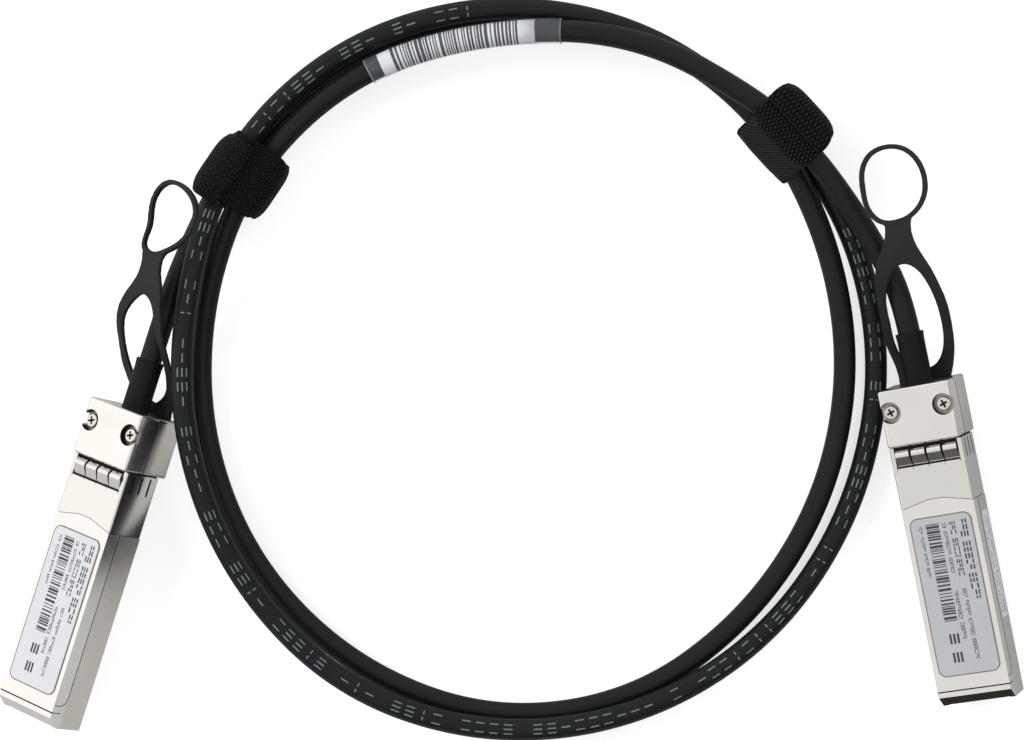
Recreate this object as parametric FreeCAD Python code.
"""A 1 m direct attach copper cable: a coiled twin-axial cable with two SFP+ plugs.

The coil lies on the XY plane and +Z points up. The origin is on that plane, at the middle of the two
plugs' bounding box. Each plug is built in its own frame, with X from the cable end to the nose and Z
out of the label face, and is then laid down where the coil holds it, rolled on its lower edges.
"""
import FreeCAD, Part
import math
import os

V = FreeCAD.Vector
os.makedirs("parts", exist_ok=True)

# ---------------------------------------------------------------- cable and coil
CABLE_D = 4.0                   # jacket diameter
COIL_CENTRE = (2.7, 12.1)       # centre of the coil from the origin
COIL_STEP = 24.0                # degrees of turn between two route points
# Turn angle (0 = +X, falling clockwise), radius and height of the cable's centreline.
COIL = (
    (144, 63.7, 3.5), (120, 63.3, 3.4), (96, 63.1, 3.3), (72, 63.0, 3.4), (48, 63.0, 3.7),
    (24, 63.4, 3.2), (0, 63.2, 2.1), (-24, 63.2, 2.1), (-48, 63.9, 3.6), (-72, 64.3, 5.9),
    (-96, 64.8, 6.2), (-120, 64.9, 7.0), (-144, 62.9, 9.3), (-168, 61.5, 12.5), (-192, 61.3, 12.7),
    (-216, 64.8, 8.2), (-240, 65.8, 7.3), (-264, 65.2, 7.3), (-288, 63.6, 7.6), (-312, 61.3, 7.7),
    (-336, 58.3, 4.4), (-360, 57.4, 2.1), (-384, 57.6, 2.1), (-408, 59.0, 2.1), (-432, 61.8, 2.1),
    (-456, 62.5, 2.1), (-480, 61.2, 2.1), (-504, 60.1, 2.1), (-528, 59.1, 2.1), (-552, 59.0, 2.7),
    (-576, 60.3, 7.0), (-600, 60.7, 7.5), (-624, 59.9, 9.4), (-648, 61.8, 11.9), (-672, 62.2, 11.9),
)
# The free leads between the coil and each boot: X and Y from the coil's centre, and Z.
LEAD_A = ((-63.2, 15.5, 7.6), (-60.4, 22.8, 5.5), (-56.9, 30.4, 4.1))
LEAD_B = ((51.2, 37.9, 11.3), (57.2, 30.2, 9.5), (62.4, 22.2, 8.4))
LEAD_OUT = 7.0                  # straight run of cable behind each boot
BOOT_SOCKET = 2.4               # how far the cable's end sits in the boot
CLEAR = 0.15                    # running clearance of one piece in another

# ---------------------------------------------------------------- where the plugs lie
# Rear face centre from the coil's centre, heading and roll of each plug, in degrees.
PLUGS = {
    "a": {"rear": (-70.2, -7.1), "heading": -107.8, "roll": 35.0},
    "b": {"rear": (70.3, -2.3), "heading": -78.5, "roll": 23.0},
}

# ---------------------------------------------------------------- plug body
BODY_W = 13.4                   # width of the front body
BODY_H = 8.5                    # height of the front body
WALL = 1.0                      # die-cast wall
BLOCK_L = 10.4                  # rear block, the grip
BLOCK_W = 13.2
BLOCK_TOP = 5.15                # top and bottom of the rear block from the axis
BLOCK_BOTTOM = 5.85
COLLAR_L = 11.4                 # neck under the shielding collar
COVER_L = 33.4                  # label panel
FLOOR_T = 1.2                   # tray floor
CAVITY_IN = 1.4                 # how far the hollow reaches into the block
BLOCK_CORNER_R = 0.5            # upright corners of the block's lower half
LID_EDGE_R = 0.45               # top edges and corners of the block's lid
NOSE_L = 2.8                    # nose bar and its slope
NOSE_FLAT = 1.0
NOSE_DROP = 2.3
NOSE_WALL = 0.6                 # nose bar behind its rear line
NOSE_LIFT = 0.9                 # underside of the nose bar above the front parting line
NOSE_LINE = (0.24, 0.25)        # width and depth of the line behind the nose
SPLIT_BLOCK = 0.3               # height of the parting line at the block and at the panel
SPLIT_FRONT = 1.2
SKIRT = 1.0                     # thickness of the cover's side skirts
PANEL_APEX, APEX_HALF = 1.2, 1.4    # blunt point of the panel's rear edge
COLLAR_T = 0.3                  # sheet thickness of the collar
FINGERS = 4
FINGER_W = 2.2
FINGER_PITCH = 2.95
FINGER_L = 3.3
FINGER_RISE = 0.5
FINGER_T = 0.25
FINGER_GAP = 0.15               # finger to its window
FINGER_X = 0.35                 # fingers from the collar's rear edge
SIDE_SLOTS = (-2.2, 0.0, 2.2)   # height of the slots between the side fingers
MOUTH_L = 13.0                  # length of the open mouth under the nose
PLUG_L = BLOCK_L + COLLAR_L + COVER_L + NOSE_L
NECK_X = BLOCK_L
PANEL_X = BLOCK_L + COLLAR_L
NOSE_X = PANEL_X + COVER_L
HALF_W, HALF_H = BODY_W / 2, BODY_H / 2

# ---------------------------------------------------------------- small pieces
SCREW_X, SCREW_Y = 4.1, 4.9
SCREW_HEAD_R, SCREW_HEAD_H = 1.25, 0.8
RECESS_L, RECESS_W = 1.5, 0.38  # cross recess in the head
SCREW_SHANK_R = 0.8
SCREW_L = 6.0
THREAD_LOW = -4.2               # bottom of the threaded hole
RECESS_TURN = 20                # turn of the recess, in degrees
COUNTERBORE_R = 1.95
COUNTERBORE_DEPTH = 1.2
BOARD_T = 1.0
BOARD_W = 10.4
BOARD_X = 24.0
BOARD_Z = -0.6                  # top face of the board
BOARD_BACK = 1.6                # board's front edge behind the nose
BOARD_CHAMFER = 0.25
RAIL_T = 1.0                    # rails that carry the board
CONTACTS = 10
CONTACT_PITCH = 0.8
CONTACT_SIZE = (3.4, 0.5, 0.08)
CONTACT_BACK = 0.5              # pads behind the board's front edge
CHIP_SIZE = (5.0, 4.4, 0.9)
CHIP_IN = 11.0                  # chip from the board's rear edge
WIRE_D = 1.0
WIRE_Y = 1.9
WIRE_LAND = 3.0                 # wires on the board
BOOT_R = 2.55
BOOT_L = 9.2                    # boot behind the block
BOOT_IN = 4.2                   # boot inside the block
BOOT_FLANGE_R = 3.5
BOOT_FLANGE_X = 1.0
BOOT_FLANGE_L = 1.6
BOOT_SNUG = 0.05                # boot in its bore
CLAMP_R = 3.1
CLAMP_L = 3.2
LABEL_L, LABEL_W, LABEL_T, LABEL_R = 29.0, 11.5, 0.1, 1.5
LABEL_BACK = 0.4                # label behind the panel's middle
SLEEVE_D = 4.6                  # clear sleeve and paper band wrapped on the cable
SLEEVE_ANGLES = (85.0, 118.0)

# ---------------------------------------------------------------- latch slider and pull tab
PULL_TRAVEL = 1.6
TAB_T = 0.9                     # thickness of the tab's flat part
TAB_Z = -4.4                    # tab and slider below the plug's axis
TAB_ROOT_W = 9.6
TAB_ROOT_IN = 6.0               # how far the tab's root reaches into the block
RING_T = 1.1                    # height of the finger ring's band
RING_BAND = 0.85
SLIDER_T = 0.5
SLIDER_W = 8.6
SLIDER_X = 1.5
SLIDER_END = 21.0
SLIDER_LOW = 0.1                # slider above the tray's underside
LATCH_X = 17.6                  # latch post, from the rear face
LATCH_L, LATCH_W, LATCH_H = 2.4, 2.4, 1.0
LATCH_CREST = 0.6               # flat crest of the post

# Each tab: outer and inner edges as X, Y points in the plug's frame, the ring's middle and radii at
# equal angles from +X, and the height of the tab's middle plane over its length.
TABS = {
    "a": {
        "left": ((-4.0, -6.3), (-7.0, -8.0), (-10.3, -8.2), (-13.2, -7.9), (-16.8, -7.1), (-19.9, -5.6),
                 (-22.4, -4.1), (-24.4, -3.5), (-26.4, -3.6), (-28.4, -4.2)),
        "right": ((-3.0, 4.7), (-6.7, 4.6), (-9.5, 4.2), (-12.5, 3.85), (-16.2, 3.6), (-18.9, 3.1),
                  (-22.2, 2.4), (-24.4, 1.4), (-26.2, 0.9), (-28.5, 1.4)),
        "hole": ((-2.1, 0.2), (-3.6, -3.3), (-6.2, -5.7), (-8.8, -6.7), (-11.3, -6.75), (-13.7, -6.3),
                 (-16.2, -5.4), (-18.6, -3.7), (-20.3, -1.3), (-19.6, 0.3), (-17.8, 1.4), (-15.6, 1.9),
                 (-12.8, 2.3), (-10.0, 2.7), (-6.7, 3.1), (-4.5, 2.9), (-3.0, 1.9)),
        "ring": (-34.5, -0.3),
        "ring_r": (6.9, 5.9, 5.8, 6.0, 6.3, 6.35, 6.7, 7.2, 6.3, 5.1, 5.1, 7.6),
        "height": ((6.0, 0.0), (0.0, 0.05), (-3.0, 0.5), (-7.0, 2.2), (-11.0, 5.0), (-15.0, 7.9),
                   (-20.0, 9.7), (-28.0, 10.6), (-46.0, 10.8)),
    },
    "b": {
        "left": ((-3.6, -4.8), (-7.5, -5.1), (-13.0, -4.35), (-16.2, -3.9), (-19.3, -3.2), (-21.9, -2.3),
                 (-24.3, -0.9), (-26.3, 0.3), (-29.6, 0.9)),
        "right": ((-2.6, 5.9), (-5.2, 6.8), (-9.3, 7.75), (-13.4, 8.2), (-17.2, 7.85), (-20.3, 7.2),
                  (-23.4, 6.1), (-26.0, 5.5), (-29.4, 6.0)),
        "hole": ((-2.1, 0.4), (-3.6, -2.6), (-6.0, -3.4), (-9.0, -3.4), (-11.0, -3.1), (-14.1, -2.7),
                 (-17.2, -1.8), (-19.3, -0.6), (-21.1, 1.0), (-21.5, 2.95), (-20.3, 4.7), (-17.6, 5.9),
                 (-13.8, 6.4), (-10.6, 6.2), (-6.9, 5.4), (-3.9, 3.9)),
        "ring": (-35.8, 4.0),
        "ring_r": (7.0, 6.6, 6.3, 6.15, 6.4, 6.9, 7.1, 7.1, 6.5, 6.1, 6.8, 7.5),
        "height": ((6.0, 0.0), (0.0, 0.05), (-3.0, 0.5), (-7.0, 2.3), (-11.0, 4.6), (-15.0, 6.6),
                   (-20.0, 8.6), (-28.0, 9.8), (-46.0, 10.2)),
    },
}

# ---------------------------------------------------------------- hook-and-loop ties
TIE_T = 1.0                     # strap thickness
TIE_W = 12.6
TIE_CLEAR = 0.3                 # strap to the bundle it holds
TIES = {"left": 146.0, "right": 42.0}


def save(shape, name):
    """Check one piece and write it to its own file."""
    if not shape.isValid() or shape.Volume < 1e-6:
        raise ValueError(f"{name} is not a valid solid")
    shape.exportStep(f"parts/{name}.step")
    print(f"{name:28s} solids {len(shape.Solids):2d}  volume {shape.Volume:9.3f}")


def box(x0, x1, y0, y1, z0, z1):
    """A box from its six faces' places."""
    return Part.makeBox(x1 - x0, y1 - y0, z1 - z0, V(x0, y0, z0))


def cylinder_x(radius, x0, x1, y=0.0, z=0.0):
    return Part.makeCylinder(radius, x1 - x0, V(x0, y, z), V(1, 0, 0))


def rest_pose(roll):
    """Pitch, and height of the rear face's centre, that set block and nose on the ground together."""
    s, c = math.sin(math.radians(roll)), math.cos(math.radians(roll))
    block_low = -BLOCK_W / 2 * s - BLOCK_BOTTOM * c
    nose_low = -HALF_W * s - HALF_H * c
    pitch = math.atan2(nose_low - block_low, PLUG_L - BLOCK_L)
    return math.degrees(pitch), BLOCK_L * math.sin(pitch) - block_low * math.cos(pitch)


def plug_placement(plug):
    """Where a plug lies: roll about its axis, then pitch, then heading."""
    pitch, height = rest_pose(plug["roll"])
    turn = FreeCAD.Rotation(V(0, 0, 1), plug["heading"])
    turn = turn.multiply(FreeCAD.Rotation(V(0, 1, 0), pitch))
    turn = turn.multiply(FreeCAD.Rotation(V(1, 0, 0), plug["roll"]))
    x, y = plug["rear"]
    return FreeCAD.Placement(V(COIL_CENTRE[0] + x, COIL_CENTRE[1] + y, height), turn)


def placed(shape, place):
    moved = shape.copy()
    moved.Placement = place.multiply(moved.Placement)
    return moved


# ---------------------------------------------------------------- cable route
def coil_points():
    """Route points of the coil: the control polygon stands out so that its arcs reach the radius."""
    half = math.radians(COIL_STEP / 2)
    out = []
    for angle, radius, height in COIL:
        a = math.radians(angle)
        r = radius / math.cos(half)
        out.append(V(COIL_CENTRE[0] + r * math.cos(a), COIL_CENTRE[1] + r * math.sin(a), height))
    return out


def lead_points(points):
    return [V(COIL_CENTRE[0] + x, COIL_CENTRE[1] + y, z) for x, y, z in points]


def boot_points(key):
    """The cable's end in a boot's socket, and the end of its straight run behind the boot."""
    place = plug_placement(PLUGS[key])
    return [place.multVec(V(BOOT_SOCKET - BOOT_L, 0, 0)), place.multVec(V(-BOOT_L - LEAD_OUT, 0, 0))]


def cable_route():
    coil = lead_points(LEAD_A) + coil_points() + lead_points(LEAD_B)
    return boot_points("a") + coil + boot_points("b")[::-1]


def rounded_path(points):
    """Straight runs joined by tangent arcs, each as large as its two runs allow."""
    edges, radii = [], []
    last = points[0]
    for before, corner, after in zip(points, points[1:], points[2:]):
        back, ahead = before - corner, after - corner
        run = min(back.Length, ahead.Length)
        back.normalize()
        ahead.normalize()
        turn = math.pi - back.getAngle(ahead)
        radius = 0.45 * run / math.tan(turn / 2)
        entry, leave = corner + back * 0.45 * run, corner + ahead * 0.45 * run
        middle = back + ahead
        middle.normalize()
        top = corner + middle * (radius / math.cos(turn / 2) - radius)
        edges.append(Part.LineSegment(last, entry).toShape())
        edges.append(Part.Arc(entry, top, leave).toShape())
        radii.append(radius)
        last = leave
    edges.append(Part.LineSegment(last, points[-1]).toShape())
    return edges, radii


def tube(edges, diameter):
    """A round bar along a path of lines and arcs."""
    wire = Part.Wire(edges)
    first = edges[0]
    tangent = first.tangentAt(first.FirstParameter)
    ring = Part.Wire([Part.Circle(first.valueAt(first.FirstParameter), tangent, diameter / 2).toShape()])
    pipe = Part.BRepOffsetAPI.MakePipeShell(wire)
    pipe.setFrenetMode(False)
    pipe.add(ring)
    pipe.build()
    pipe.makeSolid()
    return pipe.shape(), wire.Length


def make_cable():
    edges, radii = rounded_path(cable_route())
    body, length = tube(edges, CABLE_D)
    section = math.pi * CABLE_D ** 2 / 4
    print(f"cable length {length:.1f}, volume share {body.Volume / (section * length):.4f}")
    print("radii", " ".join(f"{r:.0f}" for r in radii))
    return body


def make_cable_label():
    """The sleeve on the last turn's top stretch, cut from a longer tube by a wedge."""
    last_turn = [p for p, row in zip(coil_points(), COIL) if -660 < row[0] < -560]
    edges, _ = rounded_path(last_turn)
    sleeve, _ = tube(edges, SLEEVE_D)
    core, _ = tube(edges, CABLE_D + 0.1)
    centre = V(COIL_CENTRE[0], COIL_CENTRE[1], 0)
    corners = [centre]
    for a in (SLEEVE_ANGLES[0], sum(SLEEVE_ANGLES) / 2, SLEEVE_ANGLES[1]):
        corners.append(centre + V(90 * math.cos(math.radians(a)), 90 * math.sin(math.radians(a)), 0))
    wedge = Part.Face(Part.makePolygon(corners + [centre])).extrude(V(0, 0, 25))
    return sleeve.cut(core).common(wedge)


def hull(points):
    """Convex outline round a set of (x, z) points, counter-clockwise."""
    def half(rows):
        out = []
        for x, z in rows:
            while len(out) > 1 and ((out[-1][0] - out[-2][0]) * (z - out[-2][1])
                                    <= (out[-1][1] - out[-2][1]) * (x - out[-2][0])):
                out.pop()
            out.append((x, z))
        return out[:-1]

    rows = sorted(set(points))
    return half(rows) + half(rows[::-1])


def strands_under(angle):
    """Places of the cable's centreline under a tie, as (outward, height) all along its width."""
    found = []
    edges, _ = rounded_path(cable_route())
    turned = FreeCAD.Placement(V(*COIL_CENTRE, 0), FreeCAD.Rotation(V(0, 0, 1), angle)).inverse()
    for edge in edges:
        for i in range(9):
            at = edge.FirstParameter + i / 8 * (edge.LastParameter - edge.FirstParameter)
            p = turned.multVec(edge.valueAt(at))
            if p.x > 0 and abs(p.y) < TIE_W / 2 + 1:
                found.append((round(p.x, 3), round(p.z, 3)))
    return found


def make_tie(angle):
    """A strap round the three strands that pass at one angle, with its end lapped on top."""
    strands = hull(strands_under(angle))
    core = Part.Face(Part.makePolygon([V(r, 0, z) for r, z in strands + strands[:1]]))
    inner = core.makeOffset2D(CABLE_D / 2 + TIE_CLEAR)
    outer = core.makeOffset2D(CABLE_D / 2 + TIE_CLEAR + TIE_T)
    lapped = core.makeOffset2D(CABLE_D / 2 + TIE_CLEAR + 2 * TIE_T)
    middle = sum(r for r, _ in strands) / len(strands)
    top = max(z for _, z in strands)
    lap_zone = box(middle - 2.5, middle + 12, -TIE_W, TIE_W, top - 1.0, top + 9)
    across = V(0, TIE_W, 0)
    strap = outer.extrude(across).fuse(lapped.extrude(across).common(lap_zone))
    strap = strap.cut(inner.extrude(across)).removeSplitter()
    strap.translate(V(0, -TIE_W / 2, 0))
    strap.rotate(V(0, 0, 0), V(0, 0, 1), angle)
    strap.translate(V(COIL_CENTRE[0], COIL_CENTRE[1], 0))
    return strap


# ---------------------------------------------------------------- plug pieces
def boot_hole(extra):
    """The bore for the boot and its flange, shared by both halves of the block."""
    bore = cylinder_x(BOOT_R + extra, -1, BOOT_IN + 0.1)
    flange = cylinder_x(BOOT_FLANGE_R + extra, BOOT_FLANGE_X - extra, BOOT_FLANGE_X + BOOT_FLANGE_L + extra)
    return bore.fuse(flange)


def make_base_shell():
    """Lower half: block, tray with side walls, open mouth, and the slot for slider and tab."""
    block = box(0, BLOCK_L, -BLOCK_W / 2, BLOCK_W / 2, -BLOCK_BOTTOM, SPLIT_BLOCK)
    edges = [e for e in block.Edges if abs(e.BoundBox.ZLength - SPLIT_BLOCK - BLOCK_BOTTOM) < 0.01]
    block = block.makeFillet(BLOCK_CORNER_R, edges)
    neck_w, neck_h = HALF_W - COLLAR_T, HALF_H - COLLAR_T
    neck = box(NECK_X, PANEL_X, -neck_w, neck_w, -neck_h, SPLIT_BLOCK)
    tray = box(PANEL_X, PLUG_L, -HALF_W, HALF_W, -HALF_H, SPLIT_FRONT)
    shell = block.fuse(neck).fuse(tray)
    inner_w = HALF_W - WALL
    cavity = box(BLOCK_L - CAVITY_IN, PLUG_L + 1, -inner_w, inner_w, -HALF_H + FLOOR_T, SPLIT_FRONT + 1)
    skirt_room = box(PANEL_X - 0.2, PLUG_L - NOSE_FLAT, -HALF_W - 1, HALF_W + 1, SPLIT_FRONT, 9)
    mouth = box(PLUG_L - MOUTH_L, PLUG_L + 1, -inner_w, inner_w, -HALF_H - 1, SPLIT_FRONT + 1)
    pocket = box(BOOT_IN - 0.4, BLOCK_L, -CLAMP_R - CLEAR, CLAMP_R + CLEAR, -CLAMP_R - CLEAR, CLAMP_R)
    shell = shell.cut(cavity).cut(skirt_room).cut(mouth).cut(pocket).cut(boot_hole(BOOT_SNUG))
    tab_room = box(-1, TAB_ROOT_IN + 1.2, -TAB_ROOT_W / 2 - CLEAR, TAB_ROOT_W / 2 + CLEAR,
                   TAB_Z - TAB_T / 2 - CLEAR, TAB_Z + TAB_T / 2 + CLEAR)
    slider_room = box(0, SLIDER_END + 0.4, -SLIDER_W / 2 - CLEAR, SLIDER_W / 2 + CLEAR,
                      -BLOCK_BOTTOM + 1.0, -HALF_H + SLIDER_T + 0.3)
    shell = shell.cut(tab_room).cut(slider_room)
    for side in (-1, 1):
        thread = Part.makeCylinder(SCREW_SHANK_R, SCREW_L, V(SCREW_X, side * SCREW_Y, THREAD_LOW))
        shell = shell.cut(thread)
        rail_y = side * (BOARD_W / 2 + 0.2)
        rail = box(BOARD_X + 2, PLUG_L - MOUTH_L, rail_y - RAIL_T / 2, rail_y + RAIL_T / 2,
                   -HALF_H + WALL, BOARD_Z - BOARD_T)
        shell = shell.fuse(rail)
    post = box(LATCH_X, LATCH_X + LATCH_L, -LATCH_W / 2, LATCH_W / 2, -HALF_H - LATCH_H, -HALF_H + WALL)
    slope = Part.Face(Part.makePolygon([V(LATCH_X + LATCH_L, -9, -HALF_H), V(LATCH_X + LATCH_L, -9, -9),
                                        V(LATCH_X + LATCH_CREST, -9, -HALF_H - LATCH_H),
                                        V(LATCH_X + LATCH_L, -9, -HALF_H)])).extrude(V(0, 18, 0))
    return shell.fuse(post.cut(slope)).removeSplitter()


def make_top_cover():
    """Upper half: block lid with screw seats, neck, label panel with skirts, and the nose bar."""
    lid = box(0, BLOCK_L, -BLOCK_W / 2, BLOCK_W / 2, SPLIT_BLOCK, BLOCK_TOP)
    edges = [e for e in lid.Edges if e.BoundBox.ZMin > BLOCK_TOP - 0.01 or e.BoundBox.ZLength > 1]
    lid = lid.makeFillet(LID_EDGE_R, edges)
    neck_w, neck_h = HALF_W - COLLAR_T, HALF_H - COLLAR_T
    neck = box(NECK_X, PANEL_X, -neck_w, neck_w, SPLIT_BLOCK, neck_h)
    outline = [V(PANEL_X, -HALF_W, 0), V(PANEL_X - PANEL_APEX, -APEX_HALF, 0),
               V(PANEL_X - PANEL_APEX, APEX_HALF, 0),
               V(PANEL_X, HALF_W, 0), V(PLUG_L, HALF_W, 0), V(PLUG_L, -HALF_W, 0), V(PANEL_X, -HALF_W, 0)]
    panel = Part.Face(Part.makePolygon(outline)).extrude(V(0, 0, HALF_H - SPLIT_FRONT))
    panel.translate(V(0, 0, SPLIT_FRONT))
    cover = lid.fuse(neck).fuse(panel)
    inner_w = HALF_W - SKIRT
    cavity = box(BLOCK_L - CAVITY_IN, NOSE_X - NOSE_WALL, -inner_w, inner_w, -1, HALF_H - WALL)
    under_nose = box(NOSE_X - 1, PLUG_L + 1, -inner_w, inner_w, -1, SPLIT_FRONT + NOSE_LIFT)
    pocket = box(BOOT_IN - 0.4, BLOCK_L, -CLAMP_R - CLEAR, CLAMP_R + CLEAR, -CLAMP_R, CLAMP_R + CLEAR)
    front = NOSE_X + NOSE_FLAT
    slope = Part.Face(Part.makePolygon([V(front, -9, HALF_H), V(PLUG_L + 1, -9, HALF_H),
                                        V(PLUG_L + 1, -9, HALF_H - NOSE_DROP - 1),
                                        V(PLUG_L, -9, HALF_H - NOSE_DROP), V(front, -9, HALF_H)]))
    width, depth = NOSE_LINE
    line = box(NOSE_X - width / 2, NOSE_X + width / 2, -9, 9, HALF_H - depth, HALF_H + 1)
    cover = cover.cut(cavity).cut(under_nose).cut(pocket).cut(boot_hole(BOOT_SNUG))
    cover = cover.cut(slope.extrude(V(0, 18, 0))).cut(line)
    for side in (-1, 1):
        seat = Part.makeCylinder(COUNTERBORE_R, 5, V(SCREW_X, side * SCREW_Y, BLOCK_TOP - COUNTERBORE_DEPTH))
        hole = Part.makeCylinder(SCREW_SHANK_R + 0.1, 12, V(SCREW_X, side * SCREW_Y, -2))
        cover = cover.cut(seat).cut(hole)
    return cover.removeSplitter()


def finger_xs():
    start = -FINGER_PITCH * (FINGERS - 1) / 2
    return [start + i * FINGER_PITCH for i in range(FINGERS)]


def make_emi_collar():
    """Spring-steel band round the neck, with arched fingers where it enters the block."""
    x0, x1 = NECK_X + 0.15, PANEL_X - 0.1
    band = box(x0, x1, -HALF_W, HALF_W, -HALF_H, HALF_H)
    band = band.cut(box(0, 99, -HALF_W + COLLAR_T, HALF_W - COLLAR_T, -HALF_H + COLLAR_T, HALF_H - COLLAR_T))
    band = band.cut(box(0, 99, -SLIDER_W / 2 - 0.6, SLIDER_W / 2 + 0.6, -HALF_H - 1, 0))
    notch = Part.Face(Part.makePolygon([V(x1, -HALF_W, 0), V(x1 - PANEL_APEX, -APEX_HALF, 0),
                                        V(x1 - PANEL_APEX, APEX_HALF, 0), V(x1, HALF_W, 0),
                                        V(x1, -HALF_W, 0)]))
    band = band.cut(notch.extrude(V(0, 0, 9)))
    f0, f1 = x0 + FINGER_X, x0 + FINGER_X + FINGER_L
    for y in finger_xs():
        window = box(f0, f1, y - FINGER_W / 2, y + FINGER_W / 2, HALF_H - COLLAR_T - 0.1, HALF_H + 1)
        middle = (f0 + f1) / 2
        arch = [Part.Arc(V(f0, 0, HALF_H), V(middle, 0, HALF_H + FINGER_RISE), V(f1, 0, HALF_H)).toShape(),
                Part.makeLine(V(f1, 0, HALF_H), V(f1, 0, HALF_H - FINGER_T)),
                Part.Arc(V(f1, 0, HALF_H - FINGER_T), V(middle, 0, HALF_H + FINGER_RISE - FINGER_T),
                         V(f0, 0, HALF_H - FINGER_T)).toShape(),
                Part.makeLine(V(f0, 0, HALF_H - FINGER_T), V(f0, 0, HALF_H))]
        finger = Part.Face(Part.Wire(arch)).extrude(V(0, FINGER_W - 2 * FINGER_GAP, 0))
        finger.translate(V(0, y - FINGER_W / 2 + FINGER_GAP, 0))
        band = band.cut(window).fuse(finger)
    for z in SIDE_SLOTS:
        band = band.cut(box(f0, f1, -9, 9, z - 0.3, z + 0.3))
    return band.removeSplitter()


def make_screw(side):
    """Pan-head screw with a cross recess."""
    top = BLOCK_TOP - COUNTERBORE_DEPTH
    head = Part.makeCylinder(SCREW_HEAD_R, SCREW_HEAD_H, V(0, 0, top))
    head = head.makeFillet(0.25, [e for e in head.Edges if e.BoundBox.ZMin > top + SCREW_HEAD_H - 0.01])
    shank = Part.makeCylinder(SCREW_SHANK_R - 0.05, SCREW_L, V(0, 0, top - SCREW_L))
    screw = head.fuse(shank)
    for turned in (0, 90):
        slot = box(-RECESS_L / 2, RECESS_L / 2, -RECESS_W / 2, RECESS_W / 2, top + 0.35, top + 2)
        slot.rotate(V(0, 0, 0), V(0, 0, 1), turned + RECESS_TURN)
        screw = screw.cut(slot)
    screw.translate(V(SCREW_X, side * SCREW_Y, 0))
    return screw


def make_paddle_board():
    front = PLUG_L - BOARD_BACK
    board = box(BOARD_X, front, -BOARD_W / 2, BOARD_W / 2, BOARD_Z - BOARD_T, BOARD_Z)
    edge = [e for e in board.Edges if e.BoundBox.XMin > front - 0.01 and e.BoundBox.YLength > BOARD_W / 2]
    return board.makeChamfer(BOARD_CHAMFER, edge)


def make_board_contacts():
    """The gold pads on both faces of the board's front edge."""
    length, width, thick = CONTACT_SIZE
    x1 = PLUG_L - BOARD_BACK - CONTACT_BACK
    pads = []
    for i in range(CONTACTS):
        y = (i - (CONTACTS - 1) / 2) * CONTACT_PITCH
        pads.append(box(x1 - length, x1, y - width / 2, y + width / 2, BOARD_Z, BOARD_Z + thick))
        pads.append(box(x1 - length, x1, y - width / 2, y + width / 2,
                        BOARD_Z - BOARD_T - thick, BOARD_Z - BOARD_T))
    return Part.makeCompound(pads)


def make_memory_chip():
    length, width, height = CHIP_SIZE
    x0 = BOARD_X + CHIP_IN
    return box(x0, x0 + length, -width / 2, width / 2, BOARD_Z, BOARD_Z + height)


def make_wire_pairs():
    """Four conductors from the clamp to the board's rear edge, two above it and two below."""
    wires = []
    for y in (-WIRE_Y, WIRE_Y):
        for z in (BOARD_Z + WIRE_D / 2, BOARD_Z - BOARD_T - WIRE_D / 2):
            wires.append(cylinder_x(WIRE_D / 2, BOOT_IN + CLAMP_L, BOARD_X + WIRE_LAND, y, z))
    return Part.makeCompound(wires)


def make_cable_clamp():
    return cylinder_x(CLAMP_R, BOOT_IN, BOOT_IN + CLAMP_L)


def make_strain_boot():
    """Boot with its flange held in the block and a socket for the jacket at the rear end."""
    boot = cylinder_x(BOOT_R, -BOOT_L, BOOT_IN)
    rim = [e for e in boot.Edges if e.BoundBox.XMax < -BOOT_L + 0.01]
    boot = boot.makeFillet(0.2, rim)
    boot = boot.fuse(cylinder_x(BOOT_FLANGE_R, BOOT_FLANGE_X, BOOT_FLANGE_X + BOOT_FLANGE_L))
    return boot.cut(cylinder_x(CABLE_D / 2, -BOOT_L - 1, BOOT_SOCKET - BOOT_L))


def make_latch_slider():
    """Steel strip under the tray, with a window for the latch post and two lifting ears."""
    z0 = -HALF_H + SLIDER_LOW
    strip = box(SLIDER_X, SLIDER_END, -SLIDER_W / 2, SLIDER_W / 2, z0, z0 + SLIDER_T)
    window = box(LATCH_X - PULL_TRAVEL - 0.8, LATCH_X + LATCH_L + PULL_TRAVEL - 0.2,
                 -LATCH_W / 2 - 0.4, LATCH_W / 2 + 0.4, -9, 0)
    strip = strip.cut(window)
    for side in (-1, 1):
        y = side * (LATCH_W / 2 + 1.2)
        ear = Part.Face(Part.makePolygon([V(LATCH_X - 1.6, 0, z0), V(LATCH_X + 1.2, 0, z0),
                                          V(LATCH_X - 1.6, 0, z0 - 0.7), V(LATCH_X - 1.6, 0, z0)]))
        ear = ear.extrude(V(0, 0.8, 0))
        ear.translate(V(0, y - 0.4, 0))
        strip = strip.fuse(ear)
    return strip.removeSplitter()


def spline_edge(points):
    curve = Part.BSplineCurve()
    curve.interpolate([V(x, y, 0) for x, y in points])
    return curve.toShape()


def ring_wire(centre, radii, inset):
    """A closed smooth ring through points at equal angles."""
    curve = Part.BSplineCurve()
    points = []
    for i, radius in enumerate(radii):
        a = 2 * math.pi * i / len(radii)
        points.append(V(centre[0] + (radius - inset) * math.cos(a),
                        centre[1] + (radius - inset) * math.sin(a), 0))
    curve.interpolate(points, PeriodicFlag=True)
    return Part.Wire([curve.toShape()])


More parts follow.
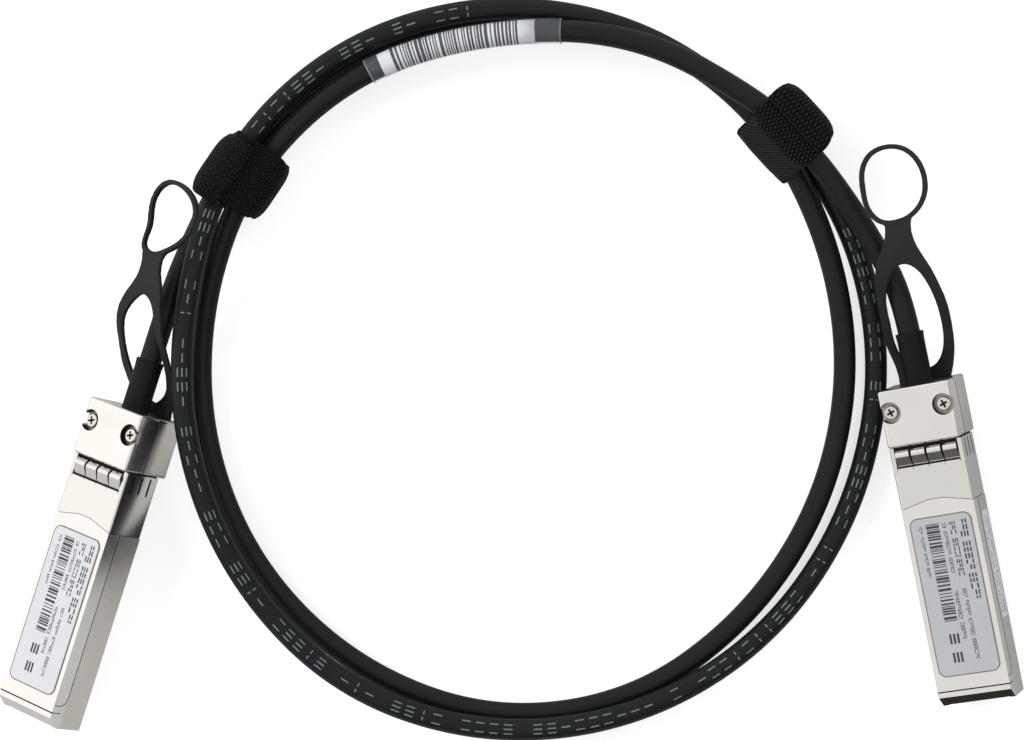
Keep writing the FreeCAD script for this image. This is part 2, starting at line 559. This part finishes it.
def height_band(rows, thickness):
    """A slab that follows the tab's rise over its length."""
    pad = (thickness - TAB_T) / 2
    low = [V(x, -20, TAB_Z - TAB_T / 2 - pad + z) for x, z in rows]
    high = [p + V(0, 0, thickness) for p in low]
    curves = []
    for points in (low, high):
        curve = Part.BSplineCurve()
        curve.interpolate(points)
        curves.append(curve.toShape())
    ends = [Part.makeLine(low[0], high[0]), Part.makeLine(low[-1], high[-1])]
    face = Part.Face(Part.Wire(Part.__sortEdges__([curves[0], ends[1], curves[1], ends[0]])))
    return face.extrude(V(0, 40, 0))


def make_pull_tab(tab):
    """Rubber tab: root in the block, two arms round the boot, waist and finger ring."""
    left, right = list(tab["left"]), list(tab["right"])
    root = [V(0, -TAB_ROOT_W / 2, 0), V(0, TAB_ROOT_W / 2, 0)]
    left_edge = spline_edge([(root[0].x, root[0].y)] + left)
    right_edge = spline_edge([(root[1].x, root[1].y)] + right)
    tip_left, tip_right = V(left[-1][0], left[-1][1], 0), V(right[-1][0], right[-1][1], 0)
    outline = Part.Wire(Part.__sortEdges__([left_edge, Part.makeLine(tip_left, tip_right), right_edge,
                                            Part.makeLine(root[1], root[0])]))
    plate = Part.Face(outline).extrude(V(0, 0, 40))
    curve = Part.BSplineCurve()
    curve.interpolate([V(x, y, 0) for x, y in tab["hole"]], PeriodicFlag=True)
    hole = Part.Face(Part.Wire([curve.toShape()])).extrude(V(0, 0, 40))
    ring = Part.Face(ring_wire(tab["ring"], tab["ring_r"], 0.0)).extrude(V(0, 0, 40))
    ring_hole = Part.Face(ring_wire(tab["ring"], tab["ring_r"], RING_BAND)).extrude(V(0, 0, 40))
    for shape in (plate, hole, ring, ring_hole):
        shape.translate(V(0, 0, -20))
    flat = plate.cut(hole).cut(ring_hole).common(height_band(tab["height"], TAB_T))
    loop = ring.cut(ring_hole).common(height_band(tab["height"], RING_T))
    tongue = box(-0.01, TAB_ROOT_IN, -TAB_ROOT_W / 2, TAB_ROOT_W / 2,
                 TAB_Z - TAB_T / 2, TAB_Z + TAB_T / 2)
    flat = flat.fuse(tongue).fuse(loop)
    low = -HALF_H + SLIDER_LOW
    strip = box(SLIDER_X, TAB_ROOT_IN + 1, -SLIDER_W / 2, SLIDER_W / 2, low, low + SLIDER_T)
    return flat.cut(strip).removeSplitter()


def make_plug_label():
    """Rounded label on the middle of the panel."""
    x0 = PANEL_X + (COVER_L - LABEL_L) / 2 - LABEL_BACK
    label = box(x0, x0 + LABEL_L, -LABEL_W / 2, LABEL_W / 2, HALF_H, HALF_H + LABEL_T)
    corners = [e for e in label.Edges if e.BoundBox.ZLength > LABEL_T / 2]
    return label.makeFillet(LABEL_R, corners)


def make_plug(key):
    """All pieces of one plug, laid where it rests."""
    place = plug_placement(PLUGS[key])
    pieces = {
        "base_shell": make_base_shell(),
        "top_cover": make_top_cover(),
        "emi_collar": make_emi_collar(),
        "cover_screw_left": make_screw(1),
        "cover_screw_right": make_screw(-1),
        "paddle_board": make_paddle_board(),
        "board_contacts": make_board_contacts(),
        "memory_chip": make_memory_chip(),
        "wire_pairs": make_wire_pairs(),
        "cable_clamp": make_cable_clamp(),
        "strain_boot": make_strain_boot(),
        "latch_slider": make_latch_slider(),
        "pull_tab": make_pull_tab(TABS[key]),
        "plug_label": make_plug_label(),
    }
    for name, shape in pieces.items():
        save(placed(shape, place), f"{name}_{key}")


def main():
    save(make_cable(), "cable")
    save(make_cable_label(), "cable_label")
    for name, angle in TIES.items():
        save(make_tie(angle), f"tie_{name}")
    for key in PLUGS:
        make_plug(key)
        print(key, "pitch and height", rest_pose(PLUGS[key]["roll"]))


main()
